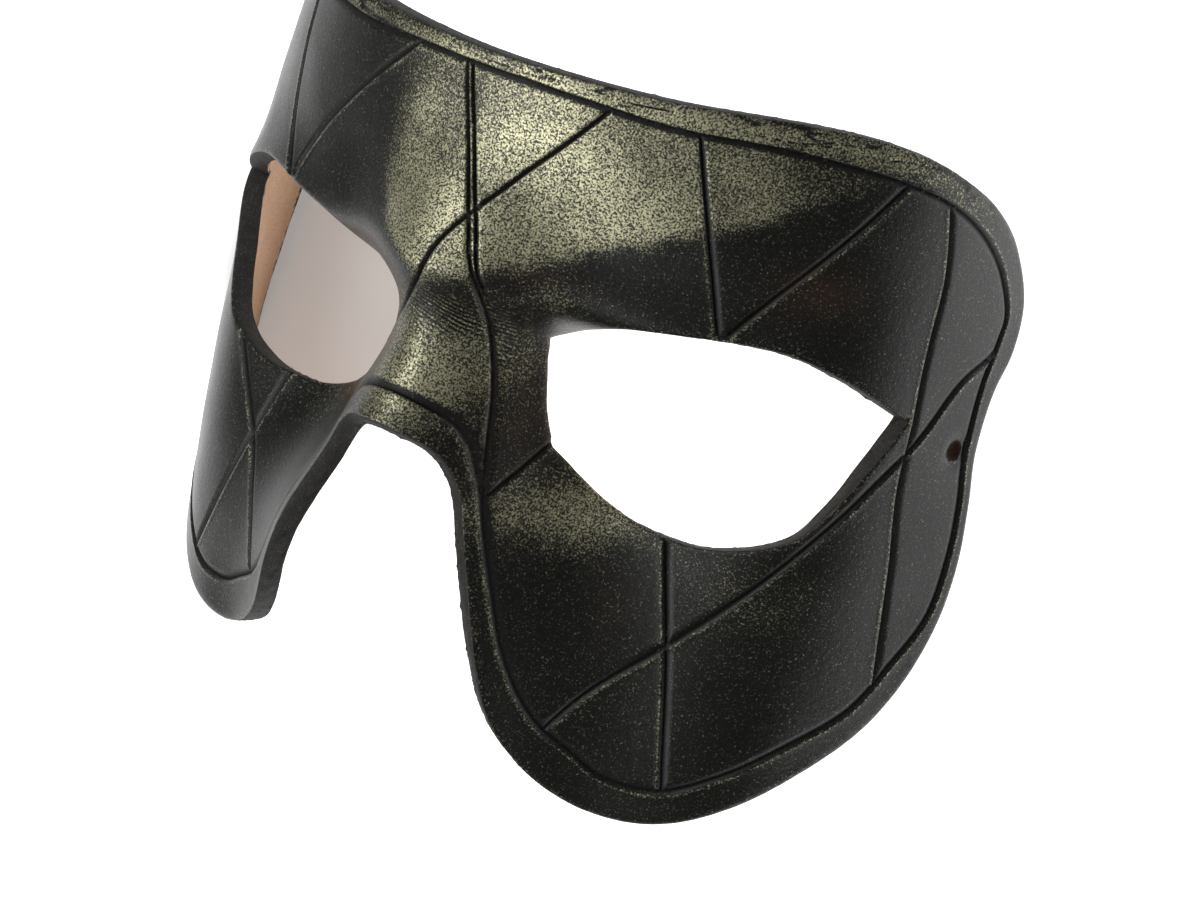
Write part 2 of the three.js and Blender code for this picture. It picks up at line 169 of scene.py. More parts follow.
def face_points(places):
    """Points on the grain face, from places on the flat pattern."""
    across, up = np.abs(places[:, 0]), places[:, 1]
    side = np.where(places[:, 0] < 0, -1, 1)
    x = np.zeros(len(places))
    z = np.zeros(len(places))
    for i in range(WRAP_STEPS):
        angle = turned_back((i + 0.5) / WRAP_STEPS * across, up)
        x += np.cos(angle) * across / WRAP_STEPS
        z -= np.sin(angle) * across / WRAP_STEPS
    angle = turned_back(across, up)
    rise = relief(across, up)
    fall_back = np.where(up > 0, FOREHEAD_FALL_BACK, CHEEK_FALL_BACK) * (up / GAIN_HEIGHT) ** 2
    out = z + np.cos(angle) * rise - fall_back
    return np.stack([side * (x + np.sin(angle) * rise), up, out], axis=1)


def face_axes(places, reach=0.1):
    """The face's two directions at each place, along and rising, and its outward normal."""
    right, above = np.array([reach, 0]), np.array([0, reach])
    along = (face_points(places + right) - face_points(places - right)) / (2 * reach)
    rising = (face_points(places + above) - face_points(places - above)) / (2 * reach)
    normal = np.cross(along, rising)
    return along, rising, normal / np.linalg.norm(normal, axis=1, keepdims=True)


middle_line = np.array([[0.0, FOREHEAD_HEIGHT], [0.0, 0.0]])
print("forehead edge and nose, out from the face in mm:", face_points(middle_line)[:, 2].round(1))

# %% [markdown]
# ## The cut outline and the eye holes
#
# A knife follows a drawn line, so each edge is a smooth curve through a few chosen points. The
# centripetal kind of Catmull-Rom curve is used, because it never loops where points come close
# together. The left half is the right half turned over, a little narrower and shorter, as a hand
# cuts it.

# %% Smooth curves
CURVE_PARTS = 24


def smooth_curve(points, closed, step):
    """A smooth curve through the points, divided into equal steps."""
    points = np.array(points, float)
    before, after = 2 * points[0] - points[1], 2 * points[-1] - points[-2]
    ends = (points[-1:], points[:2]) if closed else (before[None], after[None])
    ring = np.vstack([ends[0], points, ends[1]])
    fine = [points[:1]]
    share = np.linspace(0, 1, CURVE_PARTS + 1)[1:, None]
    for a, b, c, d in zip(ring[:-3], ring[1:-2], ring[2:-1], ring[3:]):
        ab, bc, cd = (math.sqrt(np.linalg.norm(q - p)) for p, q in ((a, b), (b, c), (c, d)))
        leave = (c - b) + bc * ((b - a) / ab - (c - a) / (ab + bc))
        arrive = (c - b) + bc * ((d - c) / cd - (d - b) / (bc + cd))
        bend = 2 * (b - c) + leave + arrive
        fine.append(b + share * leave + share**2 * (c - b - leave - bend) + share**3 * bend)
    fine = np.vstack(fine)
    reached = np.concatenate([[0], np.cumsum(np.linalg.norm(np.diff(fine, axis=0), axis=1))])
    wanted = np.linspace(0, reached[-1], math.ceil(reached[-1] / step) + 1)
    spaced = np.stack([np.interp(wanted, reached, fine[:, k]) for k in (0, 1)], axis=1)
    return spaced[:-1] if closed else spaced


def side_of(run, closed=False):
    """The direction to the left of a run, at each of its points."""
    if closed:
        along = np.roll(run, -1, axis=0) - np.roll(run, 1, axis=0)
    else:
        along = np.gradient(run, axis=0)
    along = along / np.linalg.norm(along, axis=1, keepdims=True)
    return np.stack([-along[:, 1], along[:, 0]], axis=1)


# %% The outline, the eye holes and the punched holes
WAIST_SHARE = 0.906
WAIST_INSET_SHARE = 0.66
HALF_OUTLINE = [
    (0, 1, 0.56), (0.149, 0.998, 0.63), (0.297, 0.989, 0.85), (0.465, 0.976, 0.95),
    (0.594, 0.942, 1.08), (0.693, 0.887, 1.06), (0.792, 0.796, 0.95), (0.891, 0.676, 1.05),
    (0.96, 0.546, 1.17), (1, 0.38, 1.3), (0.98, 0.256, 1.3), (0.936, 0.158, 0.93),
    (WAIST_SHARE, 0.01, WAIST_INSET_SHARE), (0.907, -0.133, 0.56), (0.901, -0.283, 0.62),
    (0.876, -0.433, 0.65), (0.827, -0.583, 1.05), (0.762, -0.708, 1.12), (0.663, -0.825, 1.36),
    (0.564, -0.92, 1.37), (0.475, -0.98, 1.28), (0.406, -0.997, 1.4), (0.337, -0.98, 1.53),
    (0.277, -0.917, 1.6), (0.233, -0.817, 1.24), (0.208, -0.717, 0.98), (0.188, -0.583, 0.7),
    (0.163, -0.417, 0.55), (0.134, -0.267, 0.43), (0.109, -0.15, 0.43), (0.084, -0.083, 0.6),
    (0.052, -0.042, 0.84), (0, -0.017, 0.98),
]
LEFT_WAIST_SHARE = 0.845
LEFT_SIDE_EDGE = [
    (-0.973, 0.37, 1.3), (-0.954, 0.25, 1.3), (-0.915, 0.12, 0.93), (-0.893, -0.01, 0.75),
    (-0.873, -0.13, 0.7), (-0.857, -0.25, 0.68), (-LEFT_WAIST_SHARE, -0.36, WAIST_INSET_SHARE),
    (-0.835, -0.46, 0.7),
]
LEFT_SIDE_START = 9
LEFT_SIDE_END = 16
EYE_UPPER_EDGE = [
    (0.005, 0.584), (0.066, 0.675), (0.139, 0.812), (0.236, 0.934), (0.385, 0.99), (0.532, 0.995),
    (0.666, 0.934), (0.816, 0.751), (1, 0.421),
]
EYE_LOWER_EDGE = [
    (1, 0.421), (0.929, 0.096), (0.877, -0.19), (0.821, -0.469), (0.764, -0.7), (0.701, -0.823),
    (0.605, -0.93), (0.505, -1), (0.4, -0.99), (0.285, -0.912), (0.169, -0.694), (0.062, -0.347),
]
EYE_INNER_CUT = [(0.062, -0.347), (0.022, 0.025), (0, 0.381), (0.005, 0.584)]

EDGE_STEP = 0.8
TIE_HOLE_SIDES = 24
waist_half_width = WAIST_SHARE * PATTERN_HALF_WIDTH
eye_inner_edge = NOSE_BRIDGE_WIDTH / 2
eye_length = waist_half_width - TEMPLE_WIDTH - eye_inner_edge
eye_above = FOREHEAD_HEIGHT - BROW_BAND
eye_below = CHEEK_DROP - CHEEK_BAND
tie_edge = BORDER_INSET * WAIST_INSET_SHARE + (GROOVE_WIDTH + TIE_HOLE_DIAMETER) / 2


def placed(shares, width, above, below):
    """Places in millimetres from shares of a width, a height above and a depth below."""
    return [(across * width, up * (above if up > 0 else below)) for across, up, *_ in shares]


def mirrored(places):
    """The same places on the left half, which is a little narrower and has a shorter cheek."""
    return [(-x * LEFT_WIDTH_SHARE, y * (LEFT_CHEEK_SHARE if y < 0 else 1)) for x, y in places]


def left_edge(right):
    """The left half's edge, where the cheek's tip is cut further out and down."""
    edge = []
    for across, up in mirrored(right):
        tip = (min(up, 0) / CHEEK_DROP) ** 2
        edge.append((across - LEFT_TIP_SPLAY * tip, up - LEFT_TIP_DROP * tip))
    return edge


def edge_loop(inset, step):
    """The whole outline, or the border line when each of its points is moved in by its own inset."""
    replaced = slice(LEFT_SIDE_START, LEFT_SIDE_END)
    right = placed(HALF_OUTLINE, PATTERN_HALF_WIDTH, FOREHEAD_HEIGHT, CHEEK_DROP)
    left = left_edge(right)
    left[replaced] = placed(LEFT_SIDE_EDGE, PATTERN_HALF_WIDTH, FOREHEAD_HEIGHT, CHEEK_DROP)
    right_insets = [inset_share for _, _, inset_share in HALF_OUTLINE]
    left_insets = list(right_insets)
    left_insets[replaced] = [inset_share for _, _, inset_share in LEFT_SIDE_EDGE]
    edge = np.array(right[::-1] + left[1:-1])
    insets = np.array(right_insets[::-1] + left_insets[1:-1])[:, None]
    return smooth_curve(edge + inset * insets * side_of(edge, True), True, step)


def eye_loop(left):
    edges = []
    for shares in (EYE_UPPER_EDGE, EYE_LOWER_EDGE, EYE_INNER_CUT):
        places = [(eye_inner_edge + x, y) for x, y in placed(shares, eye_length, eye_above, eye_below)]
        edges.append(smooth_curve(mirrored(places) if left else places, False, EDGE_STEP)[:-1])
    loop = np.vstack(edges)
    return loop[::-1] if left else loop


def punched_loop(centre, radius=TIE_HOLE_DIAMETER / 2):
    angles = -2 * np.pi * np.arange(TIE_HOLE_SIDES) / TIE_HOLE_SIDES
    return centre + radius * np.stack([np.cos(angles), np.sin(angles)], axis=1)


outline = edge_loop(0, EDGE_STEP)
eyes = [eye_loop(False), eye_loop(True)]
tie_centres = [
    np.array([waist_half_width - tie_edge, TIE_HOLE_UP]),
    np.array([tie_edge - LEFT_WAIST_SHARE * PATTERN_HALF_WIDTH, LEFT_TIE_HOLE_UP]),
]
holes = eyes + [punched_loop(centre) for centre in tie_centres]
loops = [outline] + holes
print("edge points:", sum(len(loop) for loop in loops))

# %% [markdown]
# ## The tooled lines
#
# Each line on the real mask is one knife cut, opened with a bevelling tool. One side of the cut
# falls steeply and its lip is pushed up a little, and the other side is pressed down in a soft
# slope. That is why the lines look dark on one side and catch the light on the other. The upright
# lines are steep on their left, and the slanting ones and the border on their right or outside.
# The line through the middle of the forehead was cut twice, about a millimetre apart.

# %% Where the lines run
UPRIGHT_LINES = [
    [(-0.49, 0.917), (-0.487, 0.682), (-0.468, 0.489), (-0.39, 0.336)],
    [(-0.54, -0.165), (-0.485, -0.279), (-0.415, -0.412), (-0.356, -0.575), (-0.307, -0.75),
     (-0.29, -0.83)],
    [(-0.045, 0.98), (-0.018, 0.796), (0.01, 0.676), (0.053, 0.516), (0.079, 0.385), (0.087, 0.209),
     (0.108, 0.034), (0.14, -0.2)],
    [(-0.034, 0.98), (-0.007, 0.796), (0.021, 0.676), (0.063, 0.516), (0.087, 0.385)],
    [(0.33, 0.98), (0.425, 0.377)],
    [(0.392, -0.22), (0.428, -0.5), (0.462, -0.95)],
    [(0.752, 0.794), (0.775, 0.54), (0.767, 0.387), (0.75, 0.036), (0.762, -0.267), (0.77, -0.63)],
]
SLANTING_LINES = [
    [(-0.12, 0.98), (-0.225, 0.792), (-0.29, 0.672), (-0.347, 0.556), (-0.384, 0.444), (-0.39, 0.38)],
    [(0.225, 0.98), (0.157, 0.831), (0.087, 0.688), (0.023, 0.528), (-0.004, 0.378), (-0.085, 0.161),
     (-0.16, 0.031)],
    [(-0.39, -0.22), (-0.415, -0.415), (-0.468, -0.652), (-0.52, -0.83)],
    [(0.685, 0.835), (0.439, 0.377)],
    [(0.19, -0.07), (0.13, -0.21)],
    [(0.95, 0.3), (0.91, 0.264), (0.85, 0.219), (0.772, 0.089), (0.666, -0.108), (0.552, -0.305),
     (0.43, -0.5), (0.323, -0.667), (0.25, -0.84)],
]
LINE_STEP = 0.1
FEWEST_POINTS = 10


def inside(loop, points):
    """Whether each point lies inside a closed loop."""
    x, y = points[:, 0], points[:, 1]
    result = np.zeros(len(points), bool)
    for (ax, ay), (bx, by) in zip(loop, np.roll(loop, -1, axis=0)):
        if ay != by:
            crossed = (ay > y) != (by > y)
            result ^= crossed & (x < (bx - ax) * (y - ay) / (by - ay) + ax)
    return result


def on_hide(points):
    result = inside(outline, points)
    for hole in holes:
        result &= ~inside(hole, points)
    return result


def measure_from(runs, sides):
    """A function that gives each point's signed distance to the nearest of the runs, and its run."""
    samples, lefts = np.vstack(runs), np.vstack(sides)
    owner = np.repeat(np.arange(len(runs)), [len(run) for run in runs])
    tree = kdtree.KDTree(len(samples))
    for i, (x, y) in enumerate(samples):
        tree.insert((x, y, 0), i)
    tree.balance()

    def measure(points):
        found = np.array([tree.find((x, y, 0))[1] for x, y in points])
        gap = points - samples[found]
        left = (gap * lefts[found]).sum(axis=1)
        on_line = np.abs((gap * lefts[found][:, ::-1] * [1, -1]).sum(axis=1)) < LINE_STEP
        distance = np.where(on_line, np.abs(left), np.linalg.norm(gap, axis=1))
        return distance * np.where(left < 0, -1, 1), owner[found]

    return measure


def lattice_runs(shares):
    places = placed(shares, PATTERN_HALF_WIDTH, FOREHEAD_HEIGHT, CHEEK_DROP)
    line = smooth_curve(places, False, LINE_STEP)
    clear = inside(border, line) & on_hide(line)
    breaks = np.flatnonzero(np.diff(clear.astype(int))) + 1
    pieces = zip(np.split(line, breaks), np.split(clear, breaks))
    return [run for run, kept in pieces if kept[0] and len(run) >= FEWEST_POINTS]


border = edge_loop(BORDER_INSET, LINE_STEP)
upright = [run for shares in UPRIGHT_LINES for run in lattice_runs(shares)]
slanting = [run for shares in SLANTING_LINES for run in lattice_runs(shares)]
tool_runs = [border] + upright + slanting
steep_side = np.array([-1] + [-1] * len(upright) + [1] * len(slanting))
tool_sides = [side_of(run, run is border) for run in tool_runs]
from_line = measure_from(tool_runs, tool_sides)
from_edge = measure_from(loops, [side_of(loop, True) for loop in loops])
tool_length = sum(len(run) for run in tool_runs) * LINE_STEP
print("tooled lines:", len(tool_runs), "length in mm:", round(tool_length))

# %% [markdown]
# ## The worked surface
#
# Heights here are in millimetres above the plain grain face. The knife cut, the pushed-up lip, the
# rounded edge, the ring that the punch pressed down, the fine wrinkles where the hide was squeezed
# between the brows, the long creases in the forehead's rim, and the slow waviness of a hand-formed
# hide are added together. All of it is real mesh, so it is still there when the mask is seen from
# the side. Wrinkles and creases come from seeded noise: a wave that the noise bends gives wrinkles,
# and the places where stretched noise passes through zero give creases.

# %% Heights of the grain face
BEVEL_WIDTH = 1.15
BEVEL_BOW = 1.5
MIDDLE_BEVEL = 0.6
MIDDLE_REACH = (14, 50)
FINE_BEVEL = 0.35
FINE_ABOVE = (21, 26)
STEEP_WIDTH = 0.3
LIP_HEIGHT = 0.1
LIP_AWAY = 0.7
LIP_WIDTH = 0.3
EDGE_ROUND = 0.5
EDGE_DROP = 0.25
EDGE_CALM = 2
PUNCH_PRESS = 0.2
PUNCH_FULL = 0.5
PUNCH_BLEND = 0.4
WRINKLE_SPACING = 0.8
WRINKLE_SLOPE = 0.45
WRINKLE_HEIGHT = 0.2
WRINKLE_PLACES = [
    (4, 15, 8, 4, 1), (10.5, 10, 1.6, 4, 0.7), (21, -11, 6, 3.5, 0.3), (-14, 8, 3.5, 6, 0.5),
]
CREASE_LENGTH = 10
CREASE_SPACING = 1.3
CREASE_DEPTH = 0.22
CREASE_THINNESS = 0.11
CREASE_GAPS = (-0.15, 0.15)
CREASED_FROM = (34, 42)
WAVE_SIZE = 11
WAVE_HEIGHT = 0.16


def rough(points, size, seed):
    """Soft random bumps of a given size, between about -1 and 1."""
    return np.array([noise.noise((x / size, y / size, seed)) for x, y in points])


def line_profile(points):
    """How deep the tooling is at each place, how much of a lip stands there, and where the rim is."""
    away, run = from_line(points)
    away = away * steep_side[run]
    across, up = np.abs(points[:, 0]), points[:, 1]
    fine = smoothstep(up, *FINE_ABOVE) * (run <= len(upright))
    slim = MIDDLE_BEVEL + (FINE_BEVEL - MIDDLE_BEVEL) * fine
    share = np.where(run == 0, 1, slim + (1 - slim) * smoothstep(across, *MIDDLE_REACH))
    bevel = np.clip(1 + away / (BEVEL_WIDTH * share), 0, 1) ** BEVEL_BOW
    steep = np.clip(1 - away / STEEP_WIDTH, 0, 1)
    depth = GROOVE_DEPTH * np.where(away < 0, bevel, steep)
    uneven = 0.75 + 0.35 * rough(points, size=3, seed=5)
    lip = bell(away - LIP_AWAY, LIP_WIDTH) * uneven
    return depth, lip, (run == 0) & (away > STEEP_WIDTH)


def spread(places, listed):
    """The sum of soft patches, each given by its middle, its half sizes and its strength."""
    x, y = places[:, 0], places[:, 1]
    total = np.zeros(len(places))
    for across, up, half_width, half_height, strength in listed:
        total += strength * bell(x - across, half_width) * bell(y - up, half_height)
    return np.clip(total, 0, 1)


def wrinkles(points):
    """A wave down the hide that soft noise bends, in the places that were squeezed."""
    warp = 0.5 * rough(points, size=4, seed=11) + 0.25 * rough(points, size=1.5, seed=12)
    slope = WRINKLE_SLOPE * points[:, 0]
    wave = np.cos(2 * np.pi * ((points[:, 1] + slope) / WRINKLE_SPACING + warp))
    return spread(points, WRINKLE_PLACES) * wave * (0.7 + 0.5 * rough(points, size=2.5, seed=13))


def creased(points, edge, in_rim):
    """How deep the long creases are, where the forehead's rim was bent by hand."""
    strip = in_rim * smoothstep(points[:, 1], *CREASED_FROM)
    stretched = np.stack([points[:, 0] / CREASE_LENGTH, edge / CREASE_SPACING], axis=1)
    thin = 1 - smoothstep(np.abs(rough(stretched, size=1, seed=71)), 0, CREASE_THINNESS)
    return strip * thin * smoothstep(rough(stretched, size=2, seed=73), *CREASE_GAPS)


def grain_height(points):
    """The height of the worked grain above the plain face."""
    depth, lip, in_rim = line_profile(points)
    edge = np.abs(from_edge(points)[0])
    depth = depth + CREASE_DEPTH * creased(points, edge, in_rim)
    rounded = EDGE_DROP * np.clip(1 - edge / EDGE_ROUND, 0, 1) ** 2
    press = np.zeros(len(points))
    for centre in tie_centres:
        gap = np.linalg.norm(points - centre, axis=1) - TIE_HOLE_DIAMETER / 2
        press += PUNCH_PRESS * (1 - smoothstep(gap, PUNCH_FULL, TIE_LAND_WIDTH + PUNCH_BLEND))
    calm = smoothstep(edge, 0, EDGE_CALM)
    waves = WAVE_HEIGHT * rough(points, WAVE_SIZE, seed=1) * calm
    return waves + WRINKLE_HEIGHT * wrinkles(points) + LIP_HEIGHT * lip - depth - rounded - press


# %% [markdown]
# ## Dividing the pattern into faces
#
# Points are laid where the shape needs them: rows along every edge and every tooled line, a dense
# patch in the wrinkles and along the creased rim, and an even field everywhere else. A constrained
# Delaunay triangulation then joins them into well-shaped faces that keep to the cut edges. A plain
# grid would step across the slanting lines and make them jagged.

# %% Points and faces on the flat pattern
FIELD_STEP = 0.9
FLESH_STEP = 1.4
WRINKLE_STEP = 0.25
CREASE_STEP = 0.3
ROW_STEP = 0.65
EDGE_ROWS = (0.13, 0.32, 0.6, 1)
ROW_FROM_EDGE = 0.8
ROW_SPACING = 0.7
LINE_ROWS = (-1.5, -1.1, -0.75, -0.45, -0.2, 0, 0.18, 0.38, 0.7, 1.05, 1.5)
CREASED_HALF_WIDTH = 75
EDGE_GAP = 0.5
FLESH_EDGE_GAP = 0.6
CREASE_EDGE_GAP = 0.3
ROW_GAP = 0.19
CREASE_GAP = 0.2
FIELD_GAP = 0.46
CELL = 0.5


class Points:
    """Points on the flat pattern, kept clear of one another."""

    def __init__(self):
        self.kept = []
        self.cells = {}

    def add(self, points, clearance):
        for x, y in points:
            column, row = int(x // CELL), int(y // CELL)
            near = (
                other
                for i in (column - 1, column, column + 1)
                for j in (row - 1, row, row + 1)
                for other in self.cells.get((i, j), ())
            )
            if all((x - a) ** 2 + (y - b) ** 2 >= clearance**2 for a, b in near):
                self.cells.setdefault((column, row), []).append((x, y))
                self.kept.append((x, y))


def even_field(step, low, high):
    """Rows of points between two corners, each row shifted by half a step."""
    rise = step * math.sqrt(3) / 2
    lines = []
    for i, row in enumerate(np.arange(low[1], high[1], rise)):
        line = np.arange(low[0] + (i % 2) * step / 2, high[0], step)
        lines.append(np.stack([line, np.full(len(line), row)], axis=1))
    return np.vstack(lines)


def inner_points(points, clearance):
    """Those that lie on the hide and keep clear of its edges."""
    points = points[on_hide(points)]
    return points[np.abs(from_edge(points)[0]) > clearance]


def triangulate(points):
    """Joins points into triangles that keep to the cut edges. The edges' points come first."""
    edges = []
    first = 0
    for loop in loops:
        count = len(loop)
        edges += [(first + i, first + (i + 1) % count) for i in range(count)]
        first += count
    found = delaunay_2d_cdt([Vector(p) for p in points], edges, [], 0, 1e-7, True)
    places = np.array([(v.x, v.y) for v in found[0]])
    source = [origin[0] for origin in found[3]]
    faces = np.array([[source[i] for i in face] for face in found[2]])
    assert len(places) == len(points)
    return faces[on_hide(np.array(points)[faces].mean(axis=1))]


def row_beside(run, away, left):
    """A row of points along a tooled line, at a distance to its left."""
    stride = max(1, round(ROW_STEP / LINE_STEP))
    return (run + away * left)[::stride]


def whole_field(step, edge_gap):
    """Even rows over the whole pattern, clear of its edges."""
    low, high = (-PATTERN_HALF_WIDTH, -CHEEK_DROP), (PATTERN_HALF_WIDTH, FOREHEAD_HEIGHT)
    return inner_points(even_field(step, low, high), edge_gap)


def grain_side():
    """Places and triangles of the grain face."""
    points = Points()
    points.kept = [tuple(p) for loop in loops for p in loop]
    for away in EDGE_ROWS:
        for loop in loops:
            row = inner_points(loop + away * side_of(loop, True), away * ROW_FROM_EDGE)
            points.add(row, away * ROW_SPACING)
    for away in sorted(LINE_ROWS, key=abs):
        for run, left, steep in zip(tool_runs, tool_sides, steep_side):
            points.add(inner_points(row_beside(run, away * steep, left), EDGE_GAP), ROW_GAP)
    for across, up, half_width, half_height, _ in WRINKLE_PLACES:
        low, high = (across - half_width, up - half_height), (across + half_width, up + half_height)
        points.add(inner_points(even_field(WRINKLE_STEP, low, high), EDGE_GAP), ROW_GAP)
    low, high = (-CREASED_HALF_WIDTH, CREASED_FROM[0]), (CREASED_HALF_WIDTH, FOREHEAD_HEIGHT)
    rim = inner_points(even_field(CREASE_STEP, low, high), CREASE_EDGE_GAP)
    points.add(rim[np.abs(from_edge(rim)[0]) < BORDER_INSET], CREASE_GAP)
    points.add(whole_field(FIELD_STEP, EDGE_GAP), FIELD_GAP)
    return np.array(points.kept), triangulate(points.kept)


def flesh_side():
    """Places and triangles of the flesh face, which shares the edge's points."""
    field = whole_field(FLESH_STEP, FLESH_EDGE_GAP)
    points = [tuple(p) for loop in loops for p in loop] + [tuple(p) for p in field]
    return np.array(points), triangulate(points)


grain_places, grain_faces = grain_side()
flesh_places, flesh_faces = flesh_side()
print("grain faces:", len(grain_faces), "flesh faces:", len(flesh_faces))

# %% [markdown]
# ## The cut edge
#
# A knife cut through thick hide leaves a wall that is nearly square to the face, and the fibres
# inside it stand up a little. Rows of points down the wall are pushed out and in by soft noise, more
# towards the flesh side, where the fibres are longer. The wall joins both faces along the same
# points, so the shell is closed.

# %% The wall along every edge
WALL_DEPTHS = (0.9, 1.4, 1.9, 2.4, 2.8, 3.15)
WALL_BULGE = 0.12
WALL_ROUGHNESS = 0.16
CUT_WAVER = 0.05
WALL_NOISE_STRETCH = 3.1
FACE_ROUGHNESS_SHARE = 0.3
FIBRE_CLUMP = 0.9
FINE_FIBRE_CLUMP = 0.45
FINE_FIBRE_SHARE = 0.6
WALL_SEED = 41
FLESH_WAVES = ((0.12, 5, 31), (0.05, 1.8, 32))


def shell_points(places, heights):
    """Points of the form in millimetres, from places and heights above the plain face."""
    return face_points(places) + face_axes(places)[2] * np.reshape(heights, (-1, 1))


def pushed_out(loop, amounts):
    """How far each point of an edge is pushed out of the hide, along the face."""
    along, rising, _ = face_axes(loop)
    outside = -side_of(loop, True)
    return (along * outside[:, :1] + rising * outside[:, 1:]) * np.reshape(amounts, (-1, 1))


def wall_rows(loop, seed):
    """Rows of points down the wall of one edge."""
    rows = []
    for depth in WALL_DEPTHS:
        share = depth / HIDE_THICKNESS
        shifted = loop + [0, depth * WALL_NOISE_STRETCH]
        fibres = rough(shifted, FIBRE_CLUMP, seed)
        fibres += FINE_FIBRE_SHARE * rough(shifted, FINE_FIBRE_CLUMP, seed + 1)
        roughness = WALL_ROUGHNESS * (FACE_ROUGHNESS_SHARE + share)
        push = WALL_BULGE * math.sin(math.pi * share) + roughness * fibres
        rows.append(shell_points(loop, -depth) + pushed_out(loop, push))
    return rows


def build_shell():
    """All points in millimetres, the faces, and which finish each face has."""
    grain = shell_points(grain_places, grain_height(grain_places))
    pushes = [pushed_out(loop, CUT_WAVER * rough(loop, size=2.2, seed=21)) for loop in loops]
    edge_pushes = np.vstack(pushes)
    grain[:len(edge_pushes)] += edge_pushes
    flesh_waves = sum(height * rough(flesh_places, size, seed) for height, size, seed in FLESH_WAVES)
    flesh = shell_points(flesh_places, -HIDE_THICKNESS + flesh_waves)
    points = [grain, flesh]
    faces = [list(map(int, face)) for face in grain_faces]
    finish = [0] * len(faces)
    faces += [[len(grain) + int(i) for i in face[::-1]] for face in flesh_faces]
    finish += [2] * len(flesh_faces)
    total = len(grain) + len(flesh)
    first = 0
    for number, loop in enumerate(loops):
        count = len(loop)
        rows = [first + np.arange(count)]
        for row in wall_rows(loop, WALL_SEED + 2 * number):
            points.append(row)
            rows.append(total + np.arange(count))
            total += count
        rows.append(len(grain) + first + np.arange(count))
        for upper, lower in zip(rows[:-1], rows[1:]):
            quads = np.stack([upper, lower, np.roll(lower, -1), np.roll(upper, -1)], axis=1)
            faces += quads.tolist()
            finish += [1] * count
        first += count
    places = [grain_places, flesh_places] + [loop for loop in loops for _ in WALL_DEPTHS]
    return np.vstack(points), faces, finish, np.vstack(places)


shell, shell_faces, shell_finish, shell_places = build_shell()
print("shell:", len(shell), "points,", len(shell_faces), "faces")

# %% [markdown]
# ## Laying the mask down
#
# A loose mask lies face up on its rim, tipped so that the cheeks and temples touch the table. The
# turn is the one that the solid settled into. The solid's own box then gives the place, so nothing
# is fitted by eye, and the few points of the rim that would be below the table are worn flat there.

# %% Place the shell where the solid lies
REST_TURN = Euler((0.3764, -0.02285, 0.00076), "XYZ")
turn = np.array(REST_TURN.to_matrix())
plain = np.vstack([shell_points(grain_places, 0), shell_points(flesh_places, -HIDE_THICKNESS)])
plain = plain @ turn.T * MM
box_low, box_high = np.array(solid_low), np.array(solid_high)
face_origin = (box_low + box_high - plain.min(axis=0) - plain.max(axis=0)) / 2
face_origin[2] = box_high[2] - plain[:, 2].max()
laid = shell @ turn.T * MM + face_origin
below = laid[:, 2] < 0
laid[below, 2] = 0
print("face origin in mm:", (face_origin / MM).round(2), "points worn flat:", int(below.sum()))

# %% Make the mesh
SHARP_ANGLE = 60


def new_mesh(name, points, faces, smooth=True):
    mesh = bpy.data.meshes.new(name)
    mesh.from_pydata([tuple(p) for p in points], [], faces)
    mesh.polygons.foreach_set("use_smooth", [smooth] * len(faces))
    mesh.update()
    piece = bpy.data.objects.new(name, mesh)
    bpy.context.scene.collection.objects.link(piece)
    return piece


mask = new_mesh("half_mask", laid, shell_faces)
mask.data.polygons.foreach_set("material_index", shell_finish)
mask.data.set_sharp_from_angle(angle=math.radians(SHARP_ANGLE))
volume = sum(p.area * p.center.dot(p.normal) for p in mask.data.polygons) / 3
print("volume of the hide in cubic cm:", round(volume * 1e6, 1))

# %% [markdown]
# ## Where the rub, the wear and the dye lie
#
# The gold was rubbed on after forming, so it is thick on the forehead, on the bridge of the nose
# and below the right eye's inner corner, thinner along the forehead's rim, and nearly gone
# elsewhere. The hand stopped at the brow ridge, which gives the gold a clear lower edge. It catches
# on raised lips and wrinkles and never reaches the bottom of a cut. The dye is thin in a few
# patches, where the hide shows reddish brown. Each of these is stored on the points as a number,
# and the materials read it. Numbers on the points stay with the surface, whatever the mask is
# turned to.

# %% Masks on the points
THIN_RUB = 0.1
RUB_PLACES = [
    (2, 7, 10, 8, 1), (19, 21, 6, 3, 0.3), (26, -13, 13, 5, 0.8), (-24, -13, 13, 5, 0.12),
    (54, -21, 10, 6, 0.15),
]
BARE_PLACES = [(58, 28, 7, 4, 0.6), (13, 0, 3.5, 8, 0.6), (34, -24, 3, 6, 0.3), (16, 24, 12, 2.5, 0.3)]
BROW_RUB = (12, 37, 42, 20)
BROW_RUB_LEFT = (-19, -8)
BROW_RUB_EDGE = 19.9
BROW_RUB_SLOPE = 0.38
BROW_RUB_LEFT_SLOPE = 0.6
BROW_RUB_BLEND = (-1.8, 2.2)
BROW_RUB_RAGGED = 1.5
LEFT_TOP_FADE = 0.5
LEFT_TOP_REACH = (38, 50)
RIM_RUB = 0.42
RIM_RUB_INSET = 2
RIM_RUB_WIDTH = 1.8
RIM_RUB_FROM = (30, 46)
WRINKLE_FADE = 0.35
WRINKLE_RUB = 0.7
CREASE_DARK = 0.5
EDGE_LIP = 0.6
EDGE_LIP_INSET = 0.35
EDGE_LIP_WIDTH = 0.3
MARGIN_WIDTH = 1.6
PUNCH_MARGIN = 0.1


